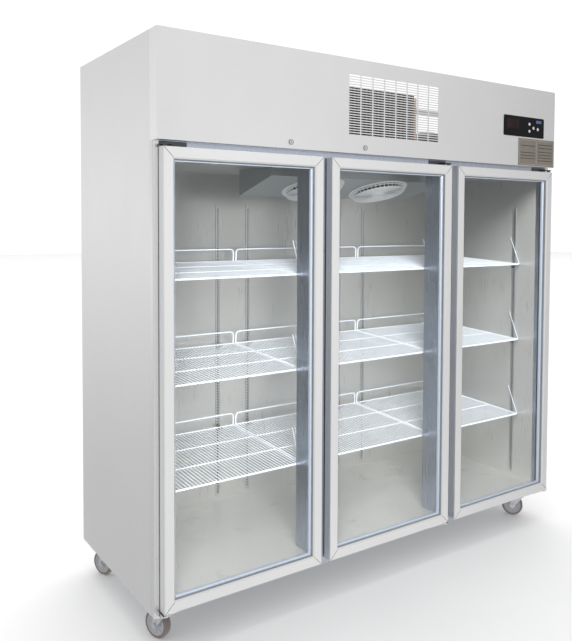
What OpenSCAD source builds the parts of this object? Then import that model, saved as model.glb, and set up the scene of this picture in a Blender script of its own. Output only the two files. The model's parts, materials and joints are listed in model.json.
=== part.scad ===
// Three-door glass-front reach-in refrigerator on casters, with the cooling unit in the header.
// Millimetres, +Z up. The origin is on the floor, under the middle of the whole object.
// The doors face -Y and +X is to the right of someone who faces the doors.

/* [Cabinet] */
// Width over the side panels
cabinet_w = 2080; // [2040:10:2120]
// Depth from the door fronts to the back panel
cabinet_d = 786; // [776:2:800]
// Height of the body and header, without the casters
body_h = 1980; // [1980:10:2020]
// Height of the header that hides the cooling unit
header_h = 366; // [366:2:390]
// Thickness of the insulated walls
wall_t = 60; // [56:1:64]
// Thickness of the outer sheet metal
sheet_t = 1.2; // [1:0.1:1.5]

/* [Doors] */
// Gap between two neighbouring doors
door_gap = 40; // [38:1:44]
// Inset of the outer doors from the cabinet's sides
door_inset = 20; // [18:1:22]
// Width of the door frame profile as seen from the front
stile_w = 40; // [38:1:42]
// Depth of the door frame profile
door_t = 38; // [38:0.5:39]
// How far the hinge axis lies from the door's edge and from its front
hinge_inset = 12; // [11.5:0.5:12.5]

/* [Shelves] */
// Spacing of the shelf levels
shelf_step = 380; // [370:5:385]
// Height of the lowest shelf above the underside of the body
shelf_first = 381; // [375:1:390]
// Spacing of the fine wires on a shelf
wire_pitch = 15.6; // [15:0.1:17]
// Height of the raised loop at the back of a shelf
loop_h = 55; // [50:1:60]
// Slots of the uprights by which a shelf's back sits higher than its front
tilt_slots = 2; // [0:1:2]

/* [Casters] */
// Height from the floor to the underside of the body
caster_h = 130; // [128:1:134]
// Wheel radius
wheel_r = 50; // [48:0.5:50]
// Wheel width
wheel_w = 32; // [28:1:32]
// Distance from the swivel axis to the axle
caster_trail = 35; // [30:1:38]

/* [Hidden] */

// Small gaps: between parts that lie against each other, and round parts that move
fit = 0.1;
run = 0.3;
shaft_play = 0.05;
eps = 0.5;

// Heights
bottom_z = caster_h;
top_z = bottom_z + body_h;
header_z = top_z - header_h;
floor_z = bottom_z + 55;
ceiling_z = header_z - 52;

// Half widths and the planes from front to back
half_w = cabinet_w / 2;
back_y = cabinet_d / 2;
door_front_y = -cabinet_d / 2;
door_back_y = door_front_y + door_t;
gasket_t = 3.7;
face_y = door_back_y + gasket_t + run;
header_front_y = door_front_y + 7;
header_seam_y = face_y + 24;
face_depth = 20;
inner_half_w = half_w - wall_t;
inner_back_y = back_y - wall_t;
liner_t = 1;

// Doors
door_bottom_z = bottom_z + 25;
door_top_z = header_z - 22;
door_h = door_top_z - door_bottom_z;
door_w = (cabinet_w - 2 * door_inset - 2 * door_gap) / 3;
door_pitch = door_w + door_gap;
hinge_y = door_front_y + hinge_inset;
hinge_pin_r = 4;
mullion_w = 100;
mullion_depth = 92;
gasket_inset = 12;
gasket_w = 16;

// Which end of each door carries its hinges: -1 left, +1 right
LEFT_DOOR = 0;
MIDDLE_DOOR = 1;
RIGHT_DOOR = 2;
hinge_side = [-1, 1, 1];
function door_x(i) = (i - 1) * door_pitch;
function hinge_x(i) = door_x(i) + hinge_side[i] * (door_w / 2 - hinge_inset);

// Locks, from the header's middle line
lock_x = [-514, -160];
lock_z = header_z + 24;
lock_plug_r = 6;
lock_barrel_r = 8.5;
cam_len = 50;
cam_y = header_front_y + 20;
cam_t = 2;

// Vent grille punched in the header panel
grille_cols = 8;
grille_rows = 24;
grille_w = 490;
grille_h = 235;
grille_z = header_z + 71;
slot_web = 6;
slot_h = 5.6;

// Controller
controller_x = 810;
controller_z = header_z + 183;
controller_w = 290;
controller_h = 94;
key_r = 7;
key_pos = [[36, 15], [36, -18], [66, -2], [98, -6]];

// Cooling unit on the deck
deck_t = 2;
deck_top = header_z + deck_t + fit;
unit_z = deck_top + 12;
coil_x = -50;
coil_w = 420;
coil_h = 258;
coil_t = 44;
coil_y = header_front_y + 62;
fan_r = 105;
fan_z = unit_z + coil_h / 2 + 4;
fan_y = coil_y + 62;
compressor_x = 375;
compressor_y = -180;
shell_r = 80;

// Evaporator under the ceiling
evap_half_w = 471;
evap_front_y = -187;
evap_back_y = 66;
evap_front_z = ceiling_z - 34;
evap_back_z = ceiling_z - 108;
evap_slope = atan((evap_front_z - evap_back_z) / (evap_back_y - evap_front_y));
evap_fan_x = 183;
evap_fan_y = -67;
evap_fan_z = evap_front_z - (evap_fan_y - evap_front_y) * tan(evap_slope);
evap_fan_r = 92;
evap_sheet_t = 1.2;
guard_r = 136;

// Shelves
shelf_front_y = -247;
shelf_back_y = 303;
shelf_x = [[-975, -366], [-358, 358], [366, 975]];
shelf_rail_r = 3;
wire_t = 2.6;
standard_w = 22;
standard_t = 3;
standard_z0 = bottom_z + 79;
standard_z1 = bottom_z + 1421;
slot_pitch = 12.7;
back_standards = [-432, -273, 273, 432];
side_standards = [-205, 250];
function shelf_z(level) = bottom_z + shelf_first + level * shelf_step;
shelf_run = shelf_back_y - shelf_front_y - 2 * shelf_rail_r;
shelf_tilt = asin(tilt_slots * slot_pitch / shelf_run);
// How far a shelf's rails have risen at y, behind the front rail
function shelf_rise(y) = (y - shelf_front_y - shelf_rail_r) * tan(shelf_tilt);

// Casters: swivel position, then how far the fork is turned
caster_pos = [[-965, -275, 24], [965, -275, 38], [-965, 275, 24], [965, 275, 12]];
axle_r = 5;
kingpin_r = 6;

// ------------------------------------------------------------------ helpers

module box(from, to) {
    translate(from) cube(to - from);
}

module both_sides() {
    for (side = [-1, 1]) mirror([side < 0 ? 1 : 0, 0, 0]) children();
}

module along_y(y0, y1) {
    translate([0, y1, 0]) rotate([90, 0, 0]) linear_extrude(y1 - y0) children();
}

module along_x(x0, x1) {
    translate([x0, 0, 0]) rotate([90, 0, 90]) linear_extrude(x1 - x0) children();
}

module bar_x(x0, x1, y, z, r) {
    translate([x0, y, z]) rotate([0, 90, 0]) cylinder(r = r, h = x1 - x0, $fn = 24);
}

module bar_y(y0, y1, x, z, r) {
    translate([x, y1, z]) rotate([90, 0, 0]) cylinder(r = r, h = y1 - y0, $fn = 24);
}

module rod(a, b, r) {
    d = b - a;
    l = norm(d);
    translate(a)
        rotate([0, acos(d[2] / l), atan2(d[1], d[0])])
            cylinder(r = r, h = l, $fn = 24);
}

module rounded_rect(w, h, r) {
    square([w - 2 * r, h], center = true);
    square([w, h - 2 * r], center = true);
    for (sx = [-1, 1], sy = [-1, 1])
        translate([sx * (w / 2 - r), sy * (h / 2 - r)]) circle(r, $fn = 32);
}

// ------------------------------------------------------------------ cabinet shell

module side_panel() {
    outline = [
        [face_y, bottom_z], [back_y, bottom_z], [back_y, top_z], [header_seam_y + fit, top_z],
        [header_seam_y + fit, header_z], [face_y, header_z]
    ];
    color("gainsboro") along_x(half_w - sheet_t, half_w) polygon(outline);
}

module left_side_panel() { mirror([1, 0, 0]) side_panel(); }
module right_side_panel() { side_panel(); }

module back_panel() {
    x = half_w - sheet_t - fit;
    color("silver") box([-x, back_y - sheet_t, bottom_z + sheet_t + fit], [x, back_y, header_z]);
}

module base_pan() {
    x = half_w - sheet_t - fit;
    color("silver") box([-x, face_y, bottom_z], [x, back_y, bottom_z + sheet_t]);
}

module insulation() {
    x_out = half_w - sheet_t - fit;
    x_in = inner_half_w + liner_t + fit;
    y0 = face_y + face_depth + fit;
    y_out = back_y - sheet_t - fit;
    y_in = inner_back_y + liner_t + fit;
    z0 = bottom_z + sheet_t + fit;
    z1 = header_z - fit;
    color("khaki") {
        both_sides() box([x_in, y0, z0], [x_out, y_out, z1]);
        box([-x_in + fit, y_in, z0], [x_in - fit, y_out, z1]);
        box([-x_in + fit, y0, z0], [x_in - fit, y_in - fit, floor_z - liner_t - fit]);
        box([-x_in + fit, y0, ceiling_z + liner_t + fit], [x_in - fit, y_in - fit, z1]);
    }
}

module inner_liner() {
    color("lightgray") difference() {
        box([-inner_half_w - liner_t, face_y + face_depth + fit, floor_z - liner_t],
            [inner_half_w + liner_t, inner_back_y + liner_t, ceiling_z + liner_t]);
        box([-inner_half_w, face_y, floor_z], [inner_half_w, inner_back_y, ceiling_z]);
    }
}

// A folded sheet channel that is open at its back
module channel(from, to) {
    t = [sheet_t, sheet_t, sheet_t];
    difference() {
        box(from, to);
        box(from + t, [to[0] - sheet_t, to[1] + 1, to[2] - sheet_t]);
    }
}

module face_frame() {
    x_out = half_w - sheet_t - fit;
    y1 = face_y + face_depth;
    z0 = bottom_z + sheet_t + fit;
    color("silver") {
        both_sides() channel([inner_half_w, face_y, z0], [x_out, y1, header_z - fit]);
        for (z = [[z0, floor_z], [ceiling_z, header_z - fit]])
            channel([-inner_half_w + fit, face_y, z[0]], [inner_half_w - fit, y1, z[1]]);
    }
}

module door_mullions() {
    color("silver") both_sides()
        translate([door_pitch / 2, 0, 0]) difference() {
            box([-mullion_w / 2, face_y, floor_z + fit],
                [mullion_w / 2, face_y + mullion_depth, ceiling_z - fit]);
            box([-mullion_w / 2 + sheet_t, face_y + sheet_t, floor_z],
                [mullion_w / 2 - sheet_t, face_y + mullion_depth - sheet_t, ceiling_z]);
        }
}

// ------------------------------------------------------------------ header

module grille_slots() {
    col = grille_w / grille_cols;
    row = grille_h / grille_rows;
    for (i = [0 : grille_cols - 1], j = [0 : grille_rows - 1])
        translate([-grille_w / 2 + (i + 0.5) * col, 0, -grille_h / 2 + (j + 0.5) * row])
            cube([col - slot_web, 3 * sheet_t, slot_h], center = true);
}

module header_panel() {
    y0 = header_front_y;
    color("gainsboro") difference() {
        union() {
            box([-half_w, y0, header_z], [half_w, y0 + sheet_t, top_z]);
            both_sides()
                box([half_w - sheet_t, y0, header_z], [half_w, header_seam_y, top_z]);
            box([-half_w, y0, header_z], [half_w, face_y - fit, header_z + sheet_t]);
            box([-half_w, y0, top_z - sheet_t], [half_w, y0 + 20, top_z]);
        }
        translate([0, y0 + sheet_t / 2, grille_z + grille_h / 2]) grille_slots();
        translate([controller_x, y0 + sheet_t / 2, controller_z])
            cube([controller_w - 26, 3 * sheet_t, controller_h - 22], center = true);
        for (x = lock_x) {
            translate([x, y0 + 2 * sheet_t, lock_z]) rotate([90, 0, 0])
                cylinder(r = lock_barrel_r + fit, h = 4 * sheet_t, $fn = 48);
            box([x - 9, cam_y - 2, header_z - 1], [x + 50, cam_y + cam_t + 2, header_z + 3]);
        }
    }
}

module header_deck() {
    x = half_w - sheet_t - fit;
    rail = 25;
    color("silver") {
        box([-x, header_seam_y, header_z + fit], [x, back_y, header_z + fit + deck_t]);
        box([-x, back_y - sheet_t, deck_top], [x, back_y, deck_top + 40]);
        box([-x, back_y - rail, top_z - rail], [x, back_y, top_z]);
    }
}

// ------------------------------------------------------------------ cooling unit

module unit_base() {
    z0 = deck_top + fit;
    color("dimgray") difference() {
        box([-300, coil_y - 6, z0], [480, 60, unit_z]);
        box([-297, coil_y - 3, z0 - 1], [477, 57, unit_z - 2]);
    }
}

module compressor() {
    color("black") translate([compressor_x, compressor_y, unit_z + fit]) {
        for (a = [45 : 90 : 315]) rotate(a) translate([92, 0, 0]) cylinder(r = 9, h = 14, $fn = 32);
        translate([0, 0, 9]) linear_extrude(3) rounded_rect(170, 170, 20);
        translate([0, 0, 12]) rotate_extrude($fn = 64) polygon(concat(
            [[0, 0]],
            [for (a = [0 : 15 : 75]) [shell_r - 10 + 10 * sin(a), 10 - 10 * cos(a)]],
            [[shell_r, 12], [shell_r, 58], [shell_r + 4, 58], [shell_r + 4, 64], [shell_r, 64],
             [shell_r, 82]],
            [for (a = [15 : 15 : 75]) [shell_r * cos(a), 82 + 40 * sin(a)]],
            [[0, 122]]));
        translate([84, 0, 50]) cube([34, 60, 50], center = true);
    }
}

module condenser_coil() {
    z0 = unit_z + fit;
    color("dimgray") {
        box([coil_x - coil_w / 2, coil_y, z0], [coil_x + coil_w / 2, coil_y + coil_t, z0 + coil_h]);
        for (j = [0 : 7], side = [-1, 1])
            translate([coil_x + side * coil_w / 2, coil_y + coil_t / 2, z0 + 22 + j * 28])
                rotate([0, 90 * side, 0])
                    rotate([0, 0, 90]) rotate([90, 0, 0])
                        rotate_extrude(angle = 180, $fn = 24) translate([10, 0]) circle(4, $fn = 16);
    }
}

module fan_shroud() {
    z0 = unit_z + fit;
    y0 = coil_y + coil_t + fit;
    depth = 24;
    color("darkgray") difference() {
        box([coil_x - coil_w / 2, y0, z0], [coil_x + coil_w / 2, y0 + depth, z0 + coil_h]);
        box([coil_x - coil_w / 2 + 2, y0 - 1, z0 + 2],
            [coil_x + coil_w / 2 - 2, y0 + depth - 1.5, z0 + coil_h - 2]);
        translate([coil_x, y0 + depth + 1, fan_z]) rotate([90, 0, 0])
            cylinder(r = fan_r + 5, h = 4, $fn = 96);
    }
}

module condenser_fan_motor() {
    y0 = fan_y + 22;
    color("gray") {
        translate([coil_x, y0 + 60, fan_z]) rotate([90, 0, 0]) cylinder(r = 36, h = 60, $fn = 48);
        translate([coil_x, y0 + eps, fan_z]) rotate([90, 0, 0]) cylinder(r = 4, h = 40, $fn = 24);
        box([coil_x - 14, y0 + 8, unit_z + fit], [coil_x + 14, y0 + 52, fan_z - 30]);
    }
}

// A fan on the Y axis with its hub round the origin
module fan_rotor(r, hub_r, hub_h, blades, bore_r, chord) {
    rotate([90, 0, 0]) difference() {
        union() {
            cylinder(r = hub_r, h = hub_h, center = true, $fn = 48);
            for (i = [0 : blades - 1]) rotate(i * 360 / blades)
                intersection() {
                    rotate([32, 0, 0]) translate([hub_r - 3, -chord / 2, -1])
                        cube([r - hub_r + 3, chord, 2]);
                    cylinder(r = r, h = hub_h + 40, center = true, $fn = 96);
                }
        }
        cylinder(r = bore_r, h = hub_h + 2, center = true, $fn = 24);
    }
}

module condenser_fan() {
    color("silver") translate([coil_x, fan_y, fan_z])
        fan_rotor(fan_r, 22, 24, 5, 4 + shaft_play, 58);
}

// Copper lines: straight runs with a slightly larger ball at each corner
module pipe(points, r) {
    for (i = [0 : len(points) - 2]) rod(points[i], points[i + 1], r);
    for (i = [1 : len(points) - 2]) translate(points[i]) sphere(r = r * 1.12, $fn = 24);
}

module refrigerant_pipes() {
    coil_left = coil_x - coil_w / 2 - fit;
    coil_right = coil_x + coil_w / 2 + fit;
    y = coil_y + 24;
    z = unit_z;
    high = z + coil_h - 13;
    left = coil_left - 25;
    cross_y = 20;
    deck_y = 120;
    color("peru") {
        // Discharge line, from the compressor to the condenser
        pipe([[compressor_x, compressor_y - shell_r - run, z + 60], [compressor_x, y, z + 60],
              [coil_right + 30, y, z + 60], [coil_right + 30, y, high], [coil_right, y, high]], 5);
        // Suction line, up through the deck to the compressor
        pipe([[compressor_x, compressor_y + shell_r + run, z + 50], [compressor_x, cross_y, z + 50],
              [compressor_x, cross_y, z + 120], [-150, cross_y, z + 120], [-150, deck_y, z + 120],
              [-150, deck_y, deck_top + fit]], 6);
        // Liquid line, from the condenser down through the deck
        pipe([[coil_left, y, high], [left, y, high], [left, y, z + 40], [left, -60, z + 40],
              [-200, -60, z + 40], [-200, deck_y, z + 40], [-200, deck_y, deck_top + fit]], 4);
    }
    // Filter drier
    color("saddlebrown") translate([left, -70, z + 40]) rotate([90, 0, 0])
        cylinder(r = 14, h = 110, $fn = 32);
}

// A sheet metal box that is open at the bottom
module cover(from, to) {
    t = [sheet_t, sheet_t, 0];
    difference() {
        box(from, to);
        box(from + t - [0, 0, 1], to - t - [0, 0, sheet_t]);
    }
}

module electrical_box() {
    color("gray") {
        cover([620, -300, deck_top + fit], [860, -120, deck_top + 110]);
        cover([900, 320, deck_top + fit], [980, back_y - 12, deck_top + 92]);
    }
    // Recessed power inlet with its three blades
    color("black") {
        difference() {
            box([912, back_y - 12 - eps, deck_top + 46], [968, back_y - 1, deck_top + 84]);
            box([919, back_y - 10, deck_top + 52], [961, back_y, deck_top + 78]);
        }
        for (x = [929, 940, 951])
            box([x - 1, back_y - 11, deck_top + (x == 940 ? 66 : 58)],
                [x + 1, back_y - 3, deck_top + (x == 940 ? 72 : 64)]);
    }
}

// ------------------------------------------------------------------ controls and locks

module controller_bezel() {
    y0 = header_front_y - 2;
    y1 = header_front_y + 46;
    color("black") translate([controller_x, 0, controller_z]) difference() {
        union() {
            along_y(y0, header_front_y - fit) rounded_rect(controller_w, controller_h, 7);
            box([-controller_w / 2 + 14, header_front_y - fit - eps, -controller_h / 2 + 12],
                [controller_w / 2 - 14, y1, controller_h / 2 - 12]);
        }
        for (p = key_pos) translate([p[0], header_front_y + 1.2, p[1]]) rotate([90, 0, 0])
            cylinder(r = key_r + run, h = 8, $fn = 48);
    }
}

module key(i) {
    p = key_pos[i];
    color("white") translate([controller_x + p[0], header_front_y - 0.2, controller_z + p[1]])
        rotate([90, 0, 0]) cylinder(r = key_r, h = 3, $fn = 48);
}

module key_up() { key(0); }
module key_down() { key(1); }
module key_set() { key(2); }
module key_light() { key(3); }

module lock_housings() {
    color("silver") for (x = lock_x) translate([x, 0, lock_z]) difference() {
        union() {
            along_y(header_front_y - 2.5, header_front_y - fit) circle(10.5, $fn = 48);
            along_y(header_front_y - fit - eps, cam_y - 1) circle(lock_barrel_r, $fn = 48);
        }
        along_y(header_front_y - 5, cam_y + 1) circle(lock_plug_r + shaft_play, $fn = 48);
    }
}

module lock_plug(i) {
    color("silver") translate([lock_x[i], 0, lock_z]) {
        difference() {
            along_y(header_front_y - 3, cam_y + cam_t) circle(lock_plug_r, $fn = 48);
            box([-0.8, header_front_y - 4, -4], [0.8, header_front_y + 8, 4]);
        }
        box([0, cam_y, -6], [cam_len, cam_y + cam_t, 6]);
    }
}

module lock_left() { lock_plug(0); }
module lock_middle() { lock_plug(1); }

// ------------------------------------------------------------------ evaporator

module evaporator_housing() {
    outer = [
        [evap_front_y, ceiling_z - fit], [evap_front_y, evap_front_z],
        [evap_back_y, evap_back_z], [evap_back_y, ceiling_z - fit]
    ];
    t = evap_sheet_t;
    rise = t / cos(evap_slope);
    inner = [
        [evap_front_y + t, ceiling_z + 1], [evap_front_y + t, evap_front_z - t * tan(evap_slope) + rise],
        [evap_back_y - t, evap_back_z + t * tan(evap_slope) + rise], [evap_back_y - t, ceiling_z + 1]
    ];
    color("silver") difference() {
        along_x(-evap_half_w, evap_half_w) polygon(outer);
        along_x(-evap_half_w + t, evap_half_w - t) polygon(inner);
        for (side = [-1, 1]) at_evap_fan(side) cylinder(r = evap_fan_r + 6, h = 12, center = true, $fn = 96);
    }
}

// Places children on the sloping face, +Z out of the face and down towards the shelves
module at_evap_fan(side) {
    translate([side * evap_fan_x, evap_fan_y, evap_fan_z]) rotate([180 - evap_slope, 0, 0]) children();
}

module evaporator_coil() {
    color("darkgray") box([-evap_half_w + 20, evap_back_y - 34, evap_back_z + 34],
                          [evap_half_w - 20, evap_back_y - 6, ceiling_z - 6]);
}

module evaporator_fan_motors() {
    foot_r = evap_fan_r + 16;
    color("dimgray") for (side = [-1, 1]) at_evap_fan(side) {
        translate([0, 0, -46]) cylinder(r = 24, h = 22, $fn = 32);
        translate([0, 0, -25]) cylinder(r = 3, h = 24, $fn = 24);
        for (a = [45 : 90 : 315]) rotate(a) {
            box([0, -4, -28], [foot_r, 4, -26]);
            box([foot_r - 2, -4, -28], [foot_r, 4, -evap_sheet_t - fit]);
        }
    }
}

module evaporator_fan(side) {
    color("dimgray") at_evap_fan(side) translate([0, 0, -12]) rotate([90, 0, 0])
        fan_rotor(evap_fan_r - 4, 18, 16, 5, 3 + shaft_play, 26);
}

module evaporator_fan_left() { evaporator_fan(-1); }
module evaporator_fan_right() { evaporator_fan(1); }

module fan_guard() {
    rings = 8;
    ring_w = 3;
    face_z = 20;
    rotate_extrude($fn = 96) polygon([
        [guard_r, 0.3], [guard_r, 5], [guard_r - 14, face_z + 3], [guard_r - 17, face_z + 3],
        [guard_r - 17, face_z], [guard_r - 4, 4], [guard_r - 14, 3.3], [guard_r - 14, 0.3]
    ]);
    for (i = [1 : rings]) rotate_extrude($fn = 72)
        translate([i * (guard_r - 17) / (rings + 1), face_z]) square([ring_w, 2.4]);
    for (a = [0 : 45 : 135]) rotate(a) translate([-guard_r + 15, -2, face_z + 0.4])
        cube([2 * guard_r - 30, 4, 2.2]);
}

module fan_guards() {
    color("white") for (side = [-1, 1]) at_evap_fan(side) fan_guard();
}

module drain_pan() {
    x = evap_half_w - 20;
    y0 = evap_back_y - 36;
    y1 = evap_back_y - 4;
    z0 = evap_back_z + 20;
    wall = 1.5;
    color("gray") difference() {
        box([-x, y0, z0], [x, y1, z0 + 10]);
        box([-x + wall, y0 + wall, z0 + wall], [x - wall, y1 - wall, z0 + 11]);
    }
}

// ------------------------------------------------------------------ shelf supports and shelves

// A slotted upright on the Z axis: its back is on y = 0 and it stands out towards -Y
module standard_strip(slotted = true) {
    n = slotted ? floor((standard_z1 - standard_z0 - 20) / slot_pitch) : 0;
    difference() {
        box([-standard_w / 2, -standard_t, standard_z0], [standard_w / 2, -fit, standard_z1]);
        box([-standard_w / 2 + 4, -standard_t - 1, standard_z0 - 1],
            [standard_w / 2 - 4, -1.3, standard_z1 + 1]);
        for (i = [1 : 1 : n])
            translate([0, -1, standard_z0 + i * slot_pitch]) cube([8, 4, 5], center = true);
    }
}

module shelf_standards() {
    color("silver") {
        for (x = back_standards) translate([x, inner_back_y, 0]) standard_strip();
        for (y = side_standards) {
            translate([inner_half_w, y, 0]) rotate(-90) standard_strip();
            translate([-inner_half_w, y, 0]) rotate(90) standard_strip();
        }
        for (m = [-1, 1], s = [-1, 1])
            translate([m * door_pitch / 2 + s * 26, face_y + mullion_depth, 0]) rotate(180)
                standard_strip(slotted = false);
    }
}

// A clip hooked on an upright, under a shelf rail: the same frame as the upright
module shelf_clip(z, reach) {
    box([-8, -reach, z - 12], [8, -standard_t - fit, z - 2 * shelf_rail_r - fit]);
    box([-8, -standard_t - 6, z - 26], [8, -standard_t - fit, z - 12 + eps]);
}

module shelf_clips() {
    color("dimgray") for (level = [0 : 2]) {
        z = shelf_z(level);
        for (x = back_standards) translate([x, inner_back_y, 0]) shelf_clip(z + tilt_slots * slot_pitch, 34);
        for (y = side_standards) {
            translate([inner_half_w, y, 0]) rotate(-90) shelf_clip(z + shelf_rise(y - 8), 14);
            translate([-inner_half_w, y, 0]) rotate(90) shelf_clip(z + shelf_rise(y - 8), 14);
        }
        for (m = [-1, 1], s = [-1, 1])
            translate([m * door_pitch / 2 + s * 26, face_y + mullion_depth, 0]) rotate(180) shelf_clip(z, 20);
    }
}

// One wire shelf: frame, two cross wires, fine wires, and the raised loop at the back
module shelf(x0, x1, z) {
    r = shelf_rail_r;
    zr = z - r;
    ya = shelf_front_y + r;
    yb = shelf_back_y - r;
    xa = x0 + r;
    xb = x1 - r;
    bend = 18;
    bar_x(x0, x1, ya, zr, r);
    bar_x(x0, x1, yb, zr, r);
    for (x = [xa, xb]) bar_y(ya, yb, x, zr, r * 0.98);
    for (k = [1, 2]) bar_x(xa, xb, ya + k * (yb - ya) / 3, zr, 2.4);
    gaps = round((xb - xa) / wire_pitch);
    for (i = [1 : gaps - 1])
        translate([xa + i * (xb - xa) / gaps, (ya + yb) / 2, z - wire_t / 2])
            cube([wire_t, yb - ya, wire_t], center = true);
    for (x = [xa, xb]) {
        s = x == xa ? 1 : -1;
        translate([x, yb, zr]) cylinder(r = r * 0.98, h = loop_h - bend, $fn = 24);
        translate([x + s * bend, yb, zr + loop_h - bend]) rotate([90, 0, 0]) rotate(s > 0 ? 90 : 0)
            rotate_extrude(angle = 90, $fn = 48) translate([bend, 0]) circle(r * 0.98, $fn = 24);
        rod([x, ya, zr], [x, ya + 62, zr + 130], 1.5);
    }
    bar_x(xa + bend, xb - bend, yb, zr + loop_h, r * 0.98);
}

module shelf_row(level) {
    pivot = [0, shelf_front_y + shelf_rail_r, shelf_z(level) - shelf_rail_r];
    color("white") for (s = shelf_x)
        translate(pivot) rotate([shelf_tilt, 0, 0]) translate(-pivot) shelf(s[0], s[1], shelf_z(level));
}

module shelves_top() { shelf_row(2); }
module shelves_middle() { shelf_row(1); }
module shelves_bottom() { shelf_row(0); }

// ------------------------------------------------------------------ doors

// Cross-section of the door frame: X runs in from the door's edge, Y back from its front
module door_profile() {
    lip = 5;
    glass_front = 12;
    glass_back = door_t - 4;
    pocket = stile_w - 12;
    polygon([
        [0, 2.5], [2.5, 0], [stile_w - 5, 0], [stile_w, lip], [stile_w, glass_front],
        [pocket, glass_front], [pocket, glass_back], [stile_w, glass_back], [stile_w, door_t],
        [0, door_t], [0, 9], [1.8, 9], [1.8, 6.5], [0, 6.5]
    ]);
}

// One bar along +X from the door's lower left corner, with mitred ends
module door_bar(length) {
    mitre = 0.2;
    intersection() {
        translate([0, door_front_y, 0]) rotate([90, 0, 90]) linear_extrude(length)
            rotate(90) mirror([0, 1, 0]) door_profile();
        along_y(door_front_y - 1, door_back_y + 1)
            polygon([[mitre, 0], [length - mitre, 0], [length - mitre - 60, 60], [mitre + 60, 60]]);
    }
}

// Bars and corner keys, centred on X, standing on z = 0
module door_ring(w, h) {
    for (up = [0, 1]) translate([0, 0, up * h]) mirror([0, 0, up])
        translate([-w / 2, 0, 0]) door_bar(w);
    for (side = [-1, 1]) mirror([side > 0 ? 1 : 0, 0, 0])
        translate([-w / 2, 0, h]) rotate([0, 90, 0]) door_bar(h);
    for (side = [-1, 1], up = [0, 1])
        translate([side * (w / 2 - 14), door_front_y + 23, up * h + (up ? -14 : 14)])
            cube([20, 18, 20], center = true);
}

module door_frame(i) {
    color("lightgray") difference() {
        translate([door_x(i), 0, door_bottom_z]) door_ring(door_w, door_h);
        for (z = [door_bottom_z - 1, door_top_z - 26])
            translate([hinge_x(i), hinge_y, z]) cylinder(r = hinge_pin_r + shaft_play, h = 27, $fn = 48);
        for (x = lock_x)
            box([x - 9, cam_y - 2, door_top_z - 7], [x + 26, cam_y + cam_t + 2, door_top_z + 1]);
    }
}

// Two panes and the spacer bar between their edges
module door_glass(i) {
    edge = stile_w - 12 + 0.5;
    w = door_w - 2 * edge;
    h = door_h - 2 * edge;
    y0 = door_front_y + 12.2;
    y1 = door_back_y - 4.2;
    pane = 4;
    translate([door_x(i) - w / 2, 0, door_bottom_z + edge]) {
        color("lightcyan") {
            box([0, y0, 0], [w, y0 + pane, h]);
            box([0, y1 - pane, 0], [w, y1, h]);
        }
        color("silver") difference() {
            box([0, y0 + pane, 0], [w, y1 - pane, h]);
            box([20, y0, 20], [w - 20, y1, h - 20]);
        }
    }
}

module door_gasket(i) {
    a = gasket_inset;
    b = gasket_inset + gasket_w;
    color("gray") translate([door_x(i) - door_w / 2, 0, door_bottom_z]) difference() {
        box([a, door_back_y, a], [door_w - a, door_back_y + gasket_t, door_h - a]);
        box([b, door_back_y - 1, b], [door_w - b, door_back_y + gasket_t + 1, door_h - b]);
    }
}

module door_left_frame() { door_frame(LEFT_DOOR); }
module door_middle_frame() { door_frame(MIDDLE_DOOR); }
module door_right_frame() { door_frame(RIGHT_DOOR); }
module door_left_glass() { door_glass(LEFT_DOOR); }
module door_middle_glass() { door_glass(MIDDLE_DOOR); }
module door_right_glass() { door_glass(RIGHT_DOOR); }
module door_left_gasket() { door_gasket(LEFT_DOOR); }
module door_middle_gasket() { door_gasket(MIDDLE_DOOR); }
module door_right_gasket() { door_gasket(RIGHT_DOOR); }

module top_hinge_brackets() {
    plate_z = door_top_z + 8;
    color("dimgray") for (i = [0 : 2]) {
        s = hinge_side[i];
        x = hinge_x(i);
        x0 = min(x + s * 10, x - s * 90);
        x1 = max(x + s * 10, x - s * 90);
        box([x0, face_y - 3, plate_z - 3], [x1, face_y - fit, header_z - 2]);
        box([min(x - s * 30, x + s * 10), hinge_y - 9, plate_z],
            [max(x - s * 30, x + s * 10), face_y - fit, plate_z + 3]);
        translate([x, hinge_y, door_top_z - 22]) cylinder(r = hinge_pin_r, h = 31, $fn = 48);
        translate([x, hinge_y, door_top_z + run]) cylinder(r = 8, h = 8, $fn = 48);
    }
}

module bottom_hinge_brackets() {
    plate_z = door_bottom_z - 8;
    tongue_r = 20;
    color("silver") for (i = [0 : 2]) {
        s = hinge_side[i];
        x = hinge_x(i);
        cx = x + s * 5;
        translate([cx, door_front_y + tongue_r, plate_z]) cylinder(r = tongue_r, h = 4, $fn = 64);
        box([cx - tongue_r, door_front_y + tongue_r, plate_z], [cx + tongue_r, face_y - fit, plate_z + 4]);
        box([min(x + s * 25, x - s * 50), face_y - 4, bottom_z + 1],
            [max(x + s * 25, x - s * 50), face_y - fit, plate_z + 4]);
        translate([x, hinge_y, plate_z + 4 - eps]) cylinder(r = 9, h = 4 - run + eps, $fn = 48);
        translate([x, hinge_y, plate_z + 1]) cylinder(r = hinge_pin_r, h = 28, $fn = 48);
    }
}

// ------------------------------------------------------------------ casters

module caster_plates() {
    color("silver") for (c = caster_pos) translate([c[0], c[1], 0]) {
        difference() {
            translate([0, 0, bottom_z - 4]) linear_extrude(4 - fit) rounded_rect(92, 112, 8);
            for (sx = [-1, 1], sy = [-1, 1]) translate([sx * 36, sy * 44, bottom_z - 5])
                cylinder(r = 4.5, h = 6, $fn = 32);
        }
        translate([0, 0, 112 + run]) cylinder(r = 27, h = bottom_z - 4 - 112 - run + eps, $fn = 48);
        translate([0, 0, 103]) cylinder(r = kingpin_r, h = 12, $fn = 48);
        translate([0, 0, 101]) cylinder(r = 10, h = 7 - run, $fn = 6);
    }
}

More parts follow.
